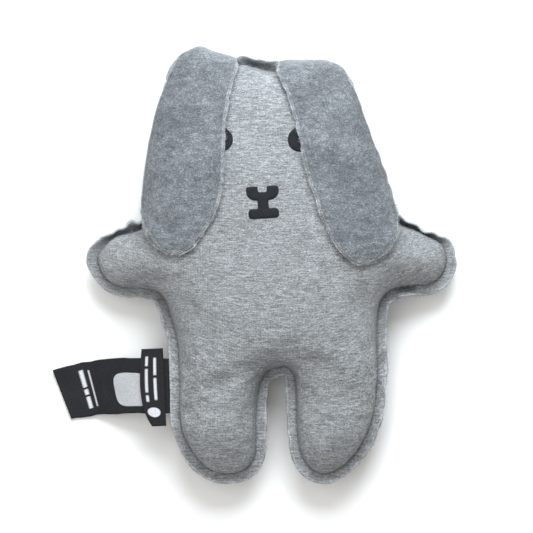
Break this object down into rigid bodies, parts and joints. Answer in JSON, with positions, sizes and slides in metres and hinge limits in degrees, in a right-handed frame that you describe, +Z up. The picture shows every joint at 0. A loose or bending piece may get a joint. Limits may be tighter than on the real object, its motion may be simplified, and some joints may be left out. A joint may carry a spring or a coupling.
{
  "type": "stuffed bunny rabbit",
  "caption": "Soft stuffed bunny rabbit lying on its back, with long ears folded forward over the face, short arms and legs, and woven labels in the side seam.",
  "frame": {"origin": "on the flat patch of the back that rests on the table, under the middle of the chest at the level of the armpits", "axes": "+X to the right of the figure as seen from its front, +Y towards the head, +Z up out of the front"},
  "size_m": [0.2032, 0.2189, 0.046],
  "materials": {
    "jersey": "matte",
    "velour": "matte",
    "lining": "matte",
    "fibre": "matte",
    "thread": "matte",
    "flock": "matte",
    "label": "satin"
  },
  "bodies": {
    "body": {"front_body_panel": "jersey", "back_body_panel": "jersey", "fibre_filling": "fibre", "seam_needle_thread": "thread", "seam_bobbin_thread": "thread", "eye_left": "flock", "eye_right": "flock", "nose_mouth_patch": "flock", "ear_left_seam_tab": "lining", "ear_right_seam_tab": "lining", "labels_seam_tab": "label"},
    "ear_left": {"ear_left_velour": "velour", "ear_left_lining": "lining", "ear_left_topstitching": "thread"},
    "ear_right": {"ear_right_velour": "velour", "ear_right_lining": "lining", "ear_right_topstitching": "thread"},
    "label_long": {"long_label": "label"},
    "label_short": {"short_label": "label"}
  },
  "joints": [
    {"name": "ear_left_fold", "type": "hinge", "parent": "body", "child": "ear_left", "pos_m": [-0.02978, 0.1182, 0.018], "axis": [-0.9716, 0.2366, 0], "range_deg": [0, 165]},
    {"name": "ear_right_fold", "type": "hinge", "parent": "body", "child": "ear_right", "pos_m": [0.01625, 0.11415, 0.018], "axis": [-1, 0, 0], "range_deg": [0, 165]},
    {"name": "long_label_bend", "type": "hinge", "parent": "body", "child": "label_long", "pos_m": [-0.05284, -0.04852, 0.018], "axis": [-0.0444, 0.999, 0], "range_deg": [0, 60]},
    {"name": "short_label_bend", "type": "hinge", "parent": "label_long", "child": "label_short", "pos_m": [-0.05444, -0.04859, 0.01935], "axis": [-0.0444, 0.999, 0], "range_deg": [0, 50]}
  ]
}
